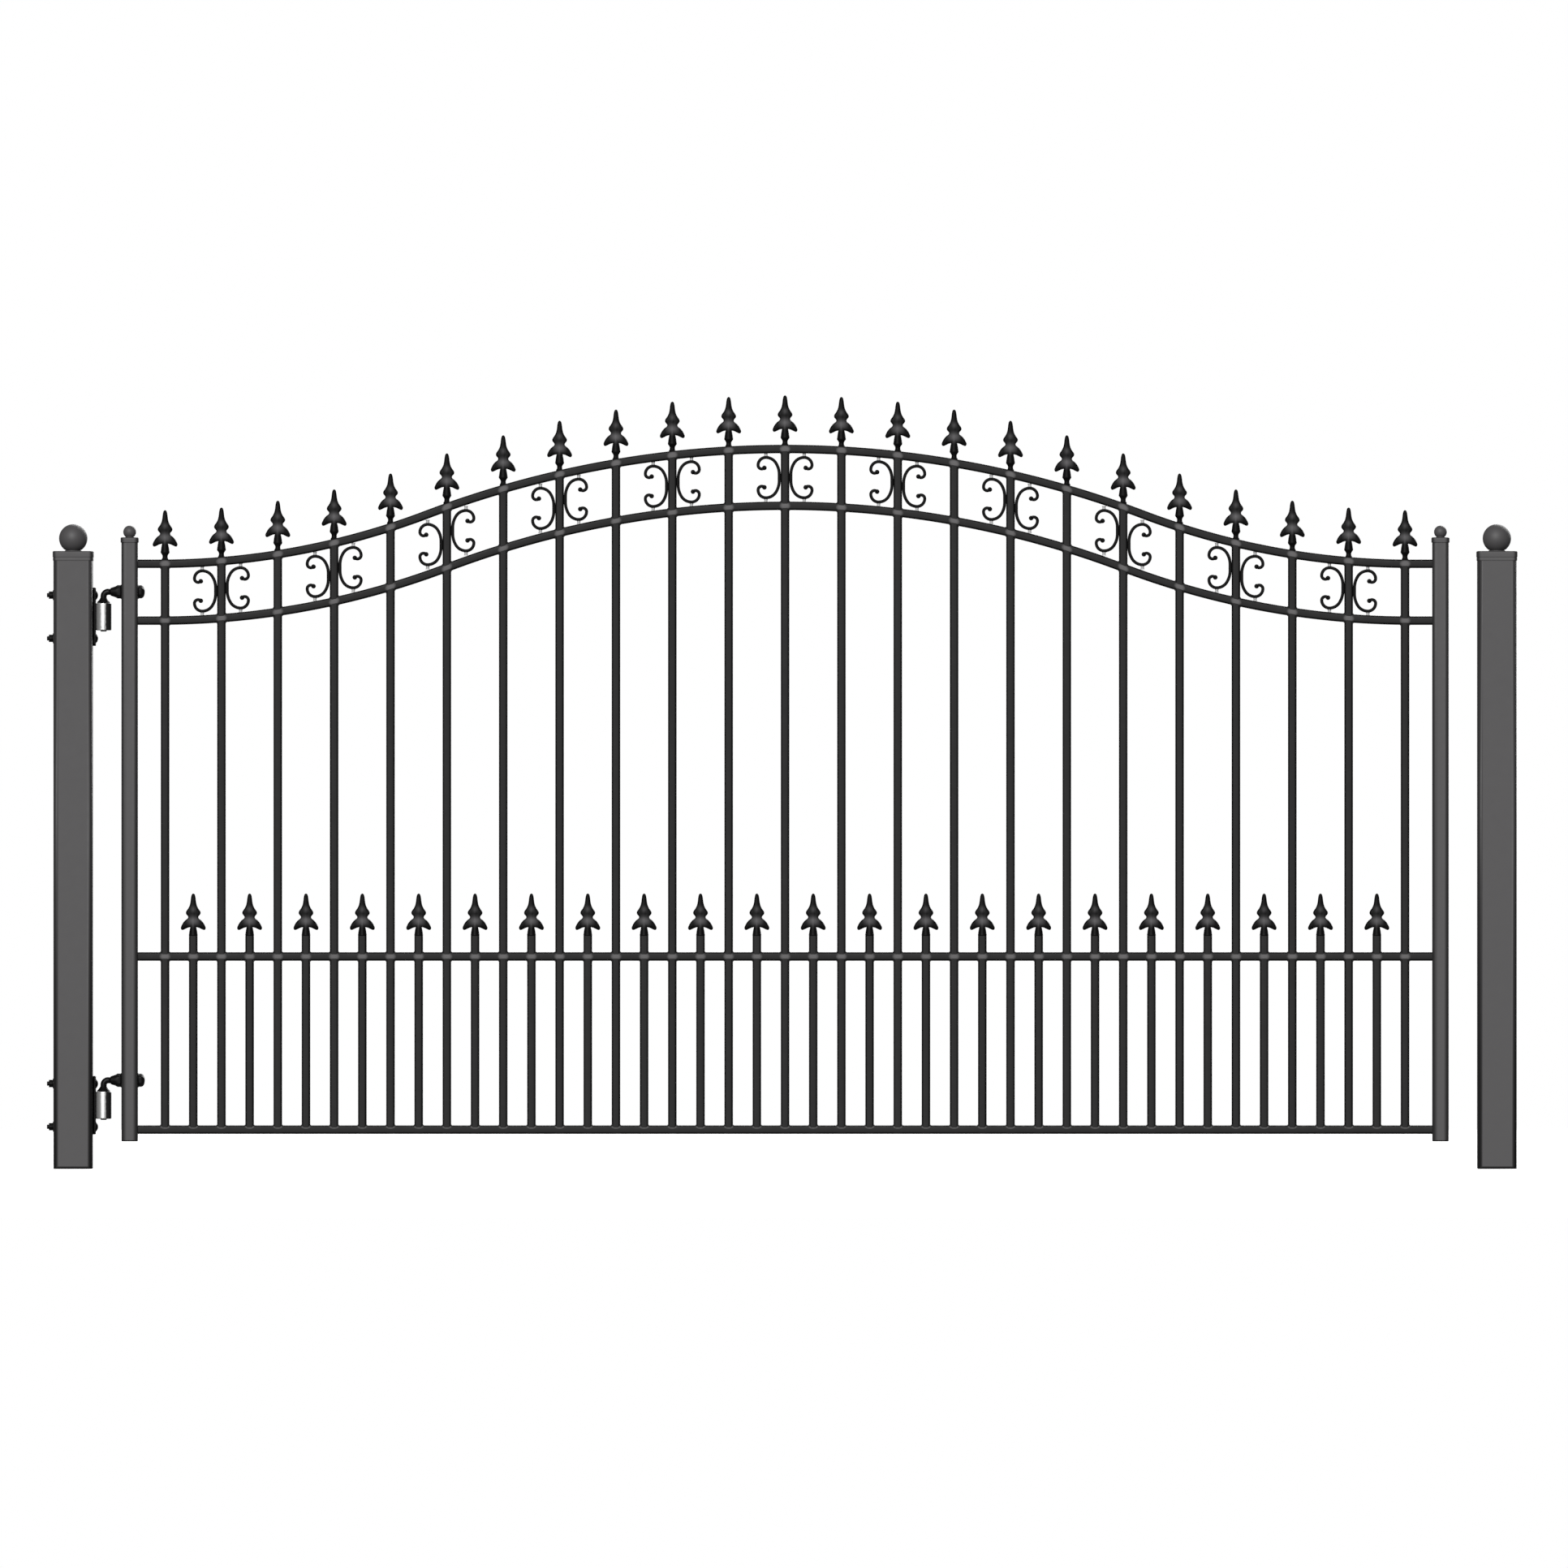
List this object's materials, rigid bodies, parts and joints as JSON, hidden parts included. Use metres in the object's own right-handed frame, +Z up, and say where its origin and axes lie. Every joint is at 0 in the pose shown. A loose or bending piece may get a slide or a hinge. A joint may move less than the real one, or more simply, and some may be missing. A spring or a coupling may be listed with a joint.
{
  "type": "wrought iron driveway gate",
  "caption": "Single-leaf arched driveway gate of square bars with spear finials and C-scrolls, hung on J-bolt hinges between two square posts with ball caps.",
  "frame": {"origin": "centre of the bottom face of the hinge post, on the ground", "axes": "+X runs along the closed gate from the hinge post to the closing post, +Y goes through the gate away from its outside face, +Z is up"},
  "size_m": [3.7774, 0.1038, 1.9869],
  "materials": {
    "frame_paint": "satin charcoal grey paint on steel tube",
    "bar_paint": "satin charcoal paint on steel bar",
    "ornament_paint": "satin black paint on forged and cast iron",
    "hinge_iron": "satin black paint on steel hinge fittings and foot plates",
    "barrel_zinc": "bright zinc plate on turned steel"
  },
  "bodies": {
    "posts": {"hinge_post": "frame_paint", "hinge_post_foot": "hinge_iron", "hinge_post_cap": "frame_paint", "hinge_post_ball": "frame_paint", "closing_post": "frame_paint", "closing_post_foot": "hinge_iron", "closing_post_cap": "frame_paint", "closing_post_ball": "frame_paint", "upper_hinge_plate": "hinge_iron", "upper_hinge_barrel": "barrel_zinc", "upper_hinge_bolts": "hinge_iron", "upper_hinge_nuts": "hinge_iron", "lower_hinge_plate": "hinge_iron", "lower_hinge_barrel": "barrel_zinc", "lower_hinge_bolts": "hinge_iron", "lower_hinge_nuts": "hinge_iron"},
    "leaf": {"upper_j_bolt": "hinge_iron", "upper_j_bolt_nuts": "hinge_iron", "lower_j_bolt": "hinge_iron", "lower_j_bolt_nuts": "hinge_iron", "hinge_stile": "frame_paint", "hinge_stile_foot": "hinge_iron", "hinge_stile_cap": "frame_paint", "hinge_stile_ball": "frame_paint", "free_stile": "frame_paint", "free_stile_foot": "hinge_iron", "free_stile_cap": "frame_paint", "free_stile_ball": "frame_paint", "bottom_rail": "bar_paint", "middle_rail": "bar_paint", "lower_arch_rail": "bar_paint", "upper_arch_rail": "bar_paint", "lower_pickets": "bar_paint", "upper_pickets": "bar_paint", "arch_pickets": "bar_paint", "short_pickets": "bar_paint", "top_spears": "ornament_paint", "short_spears": "ornament_paint", "left_scrolls": "ornament_paint", "right_scrolls": "ornament_paint"}
  },
  "joints": [
    {"name": "leaf_swing", "type": "hinge", "parent": "posts", "child": "leaf", "pos_m": [0.078, 0, 0.163], "axis": [0, 0, 1], "range_deg": [-90, 90]}
  ]
}
